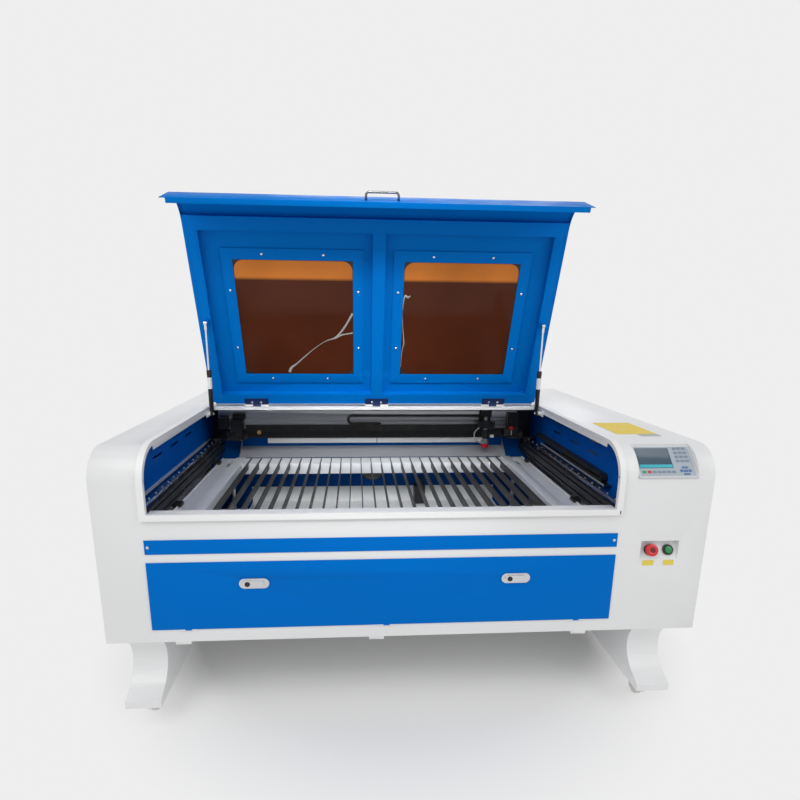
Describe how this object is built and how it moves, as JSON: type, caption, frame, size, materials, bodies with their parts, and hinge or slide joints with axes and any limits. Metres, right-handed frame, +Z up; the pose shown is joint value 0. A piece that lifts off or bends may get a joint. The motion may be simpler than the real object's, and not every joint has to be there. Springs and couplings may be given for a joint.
{
  "type": "laser cutting machine",
  "caption": "Gantry laser cutting and engraving machine on two stands, with a raised windowed lid, a strip table on lead screws, and doors to its bays.",
  "frame": {"origin": "on the floor below the middle of the machine's overall box", "axes": "+X to the operator's right along the machine's width, +Y from the front to the rear, +Z up"},
  "size_m": [1.9, 1.546, 1.6937],
  "materials": {
    "white_paint": "satin",
    "blue_paint": "satin",
    "dark_blue_paint": "satin",
    "black_paint": "matte",
    "aluminium": "satin",
    "black_aluminium": "satin",
    "strip_aluminium": "satin",
    "rail_steel": "brushed",
    "zinc_steel": "satin",
    "chrome": "polished",
    "brass": "satin",
    "black_plastic": "matte",
    "pale_plastic": "matte",
    "grey_plastic": "satin",
    "yellow_plastic": "satin",
    "red_plastic": "gloss",
    "green_plastic": "gloss",
    "amber_acrylic": "polished",
    "screen_glass": "polished",
    "clear_glass": "polished"
  },
  "bodies": {
    "machine": {"left_housing": "white_paint", "right_housing": "white_paint", "front_wall": "white_paint", "slot_cover": "blue_paint", "opening_lip": "white_paint", "rear_wall": "white_paint", "floor_pan": "white_paint", "side_linings": "dark_blue_paint", "rear_lining": "dark_blue_paint", "rail_beams": "black_aluminium", "y_rails": "rail_steel", "hinge_crossbar": "white_paint", "stands": "white_paint", "tube_shelf": "white_paint", "laser_tube": "clear_glass", "exhaust_duct": "black_plastic", "lift_motor": "black_paint", "lift_chain": "rail_steel", "control_panel": "grey_plastic", "display_screen": "screen_glass", "button_bases": "yellow_plastic"},
    "lid": {"lid_shell": "blue_paint", "lid_inner_frame": "blue_paint", "lid_windows": "amber_acrylic", "window_clamps": "blue_paint", "lid_handle": "chrome", "lid_hinge_leaves": "dark_blue_paint"},
    "left_strut_cylinder": {"left_strut_cylinder": "black_paint"},
    "left_strut_rod": {"left_strut_rod": "chrome"},
    "right_strut_cylinder": {"right_strut_cylinder": "black_paint"},
    "right_strut_rod": {"right_strut_rod": "chrome"},
    "gantry": {"gantry_beam": "aluminium", "gantry_ends": "black_paint", "belt_guard": "black_plastic", "gantry_mirror_mount": "black_paint"},
    "head": {"head_carriage": "black_paint"},
    "focus_tube": {"focus_tube": "aluminium", "nozzle": "brass"},
    "table": {"table_frame": "white_paint", "knife_strips": "strip_aluminium"},
    "front_left_screw": {"front_left_screw": "rail_steel"},
    "front_right_screw": {"front_right_screw": "rail_steel"},
    "rear_left_screw": {"rear_left_screw": "rail_steel"},
    "rear_right_screw": {"rear_right_screw": "rail_steel"},
    "front_door": {"front_door": "blue_paint", "lock_plates": "chrome"},
    "left_door_lock": {"left_door_lock": "black_plastic"},
    "right_door_lock": {"right_door_lock": "black_plastic"},
    "service_door": {"service_door": "white_paint"},
    "rear_cover": {"rear_cover": "white_paint"},
    "stop_button": {"stop_button": "red_plastic"},
    "start_button": {"start_button": "green_plastic"},
    "front_left_caster": {"front_left_caster_fork": "zinc_steel"},
    "front_left_caster_wheel": {"front_left_caster_wheel": "pale_plastic"},
    "front_right_caster": {"front_right_caster_fork": "zinc_steel"},
    "front_right_caster_wheel": {"front_right_caster_wheel": "pale_plastic"},
    "rear_left_caster": {"rear_left_caster_fork": "zinc_steel"},
    "rear_left_caster_wheel": {"rear_left_caster_wheel": "pale_plastic"},
    "rear_right_caster": {"rear_right_caster_fork": "zinc_steel"},
    "rear_right_caster_wheel": {"rear_right_caster_wheel": "pale_plastic"}
  },
  "joints": [
    {"name": "lid_hinge", "type": "hinge", "parent": "machine", "child": "lid", "pos_m": [0, 0.132, 0.895], "axis": [1, 0, 0], "range_deg": [0, 70]},
    {"name": "left_strut_swing", "type": "hinge", "parent": "machine", "child": "left_strut_cylinder", "pos_m": [-0.7705, 0, 0.88], "axis": [1, 0, 0], "range_deg": [0, 88]},
    {"name": "left_strut_slide", "type": "slide", "parent": "left_strut_cylinder", "child": "left_strut_rod", "axis": [0, -0.0277, 0.9996], "range_m": [-0.1205, 0]},
    {"name": "right_strut_swing", "type": "hinge", "parent": "machine", "child": "right_strut_cylinder", "pos_m": [0.614, 0, 0.88], "axis": [1, 0, 0], "range_deg": [0, 88]},
    {"name": "right_strut_slide", "type": "slide", "parent": "right_strut_cylinder", "child": "right_strut_rod", "axis": [0, -0.0277, 0.9996], "range_m": [-0.1205, 0]},
    {"name": "gantry_slide", "type": "slide", "parent": "machine", "child": "gantry", "axis": [0, -1, 0], "range_m": [0, 0.9]},
    {"name": "head_slide", "type": "slide", "parent": "gantry", "child": "head", "axis": [-1, 0, 0], "range_m": [-0.058, 1.12]},
    {"name": "focus_slide", "type": "slide", "parent": "head", "child": "focus_tube", "axis": [0, 0, 1], "range_m": [-0.025, 0]},
    {"name": "table_lift", "type": "slide", "parent": "machine", "child": "table", "axis": [0, 0, 1], "range_m": [-0.2, 0]},
    {"name": "front_left_screw_turn", "type": "hinge", "parent": "machine", "child": "front_left_screw", "pos_m": [-0.76475, -0.611, 0.3], "axis": [0, 0, 1], "range_deg": [-14400, 0]},
    {"name": "front_right_screw_turn", "type": "hinge", "parent": "machine", "child": "front_right_screw", "pos_m": [0.61525, -0.611, 0.3], "axis": [0, 0, 1], "range_deg": [-14400, 0]},
    {"name": "rear_left_screw_turn", "type": "hinge", "parent": "machine", "child": "rear_left_screw", "pos_m": [-0.76475, 0.276, 0.3], "axis": [0, 0, 1], "range_deg": [-14400, 0]},
    {"name": "rear_right_screw_turn", "type": "hinge", "parent": "machine", "child": "rear_right_screw", "pos_m": [0.61525, 0.276, 0.3], "axis": [0, 0, 1], "range_deg": [-14400, 0]},
    {"name": "front_door_hinge", "type": "hinge", "parent": "machine", "child": "front_door", "pos_m": [0, -0.727, 0.322], "axis": [1, 0, 0], "range_deg": [0, 90]},
    {"name": "left_lock_turn", "type": "hinge", "parent": "front_door", "child": "left_door_lock", "pos_m": [-0.5045, -0.73, 0.478], "axis": [0, -1, 0], "range_deg": [0, 90]},
    {"name": "right_lock_turn", "type": "hinge", "parent": "front_door", "child": "right_door_lock", "pos_m": [0.315, -0.73, 0.478], "axis": [0, -1, 0], "range_deg": [0, 90]},
    {"name": "service_door_hinge", "type": "hinge", "parent": "machine", "child": "service_door", "pos_m": [0.944, -0.066, 0.545], "axis": [0, 0, 1], "range_deg": [0, 100]},
    {"name": "rear_cover_hinge", "type": "hinge", "parent": "machine", "child": "rear_cover", "pos_m": [0, 0.159, 0.888], "axis": [1, 0, 0], "range_deg": [0, 60]},
    {"name": "stop_button_push", "type": "slide", "parent": "machine", "child": "stop_button", "axis": [0, 0.9265, -0.3764], "range_m": [0, 0.004], "stiffness_N_per_m": 600, "springref_m": -0.002},
    {"name": "start_button_push", "type": "slide", "parent": "machine", "child": "start_button", "axis": [0, 0.9265, -0.3764], "range_m": [0, 0.0022], "stiffness_N_per_m": 600, "springref_m": -0.002},
    {"name": "front_left_caster_swivel", "type": "hinge", "parent": "machine", "child": "front_left_caster", "pos_m": [-0.838, -0.69, 0.078], "axis": [0, 0, 1], "continuous": true},
    {"name": "front_left_caster_roll", "type": "hinge", "parent": "front_left_caster", "child": "front_left_caster_wheel", "pos_m": [-0.838, -0.672, 0.029], "axis": [1, 0, 0], "continuous": true},
    {"name": "front_right_caster_swivel", "type": "hinge", "parent": "machine", "child": "front_right_caster", "pos_m": [0.81, -0.69, 0.078], "axis": [0, 0, 1], "continuous": true},
    {"name": "front_right_caster_roll", "type": "hinge", "parent": "front_right_caster", "child": "front_right_caster_wheel", "pos_m": [0.81, -0.672, 0.029], "axis": [1, 0, 0], "continuous": true},
    {"name": "rear_left_caster_swivel", "type": "hinge", "parent": "machine", "child": "rear_left_caster", "pos_m": [-0.838, 0.69, 0.078], "axis": [0, 0, 1], "continuous": true},
    {"name": "rear_left_caster_roll", "type": "hinge", "parent": "rear_left_caster", "child": "rear_left_caster_wheel", "pos_m": [-0.838, 0.708, 0.029], "axis": [1, 0, 0], "continuous": true},
    {"name": "rear_right_caster_swivel", "type": "hinge", "parent": "machine", "child": "rear_right_caster", "pos_m": [0.81, 0.69, 0.078], "axis": [0, 0, 1], "continuous": true},
    {"name": "rear_right_caster_roll", "type": "hinge", "parent": "rear_right_caster", "child": "rear_right_caster_wheel", "pos_m": [0.81, 0.708, 0.029], "axis": [1, 0, 0], "continuous": true}
  ],
  "couplings": [
    {"joint": "left_strut_swing", "follows": "lid_hinge", "ratio": 1.2533},
    {"joint": "left_strut_slide", "follows": "lid_hinge", "m_per_rad": -0.098158},
    {"joint": "right_strut_swing", "follows": "lid_hinge", "ratio": 1.2533},
    {"joint": "right_strut_slide", "follows": "lid_hinge", "m_per_rad": -0.098158},
    {"joint": "front_left_screw_turn", "follows": "table_lift", "rad_per_m": 1256.6},
    {"joint": "front_right_screw_turn", "follows": "table_lift", "rad_per_m": 1256.6},
    {"joint": "rear_left_screw_turn", "follows": "table_lift", "rad_per_m": 1256.6},
    {"joint": "rear_right_screw_turn", "follows": "table_lift", "rad_per_m": 1256.6}
  ]
}
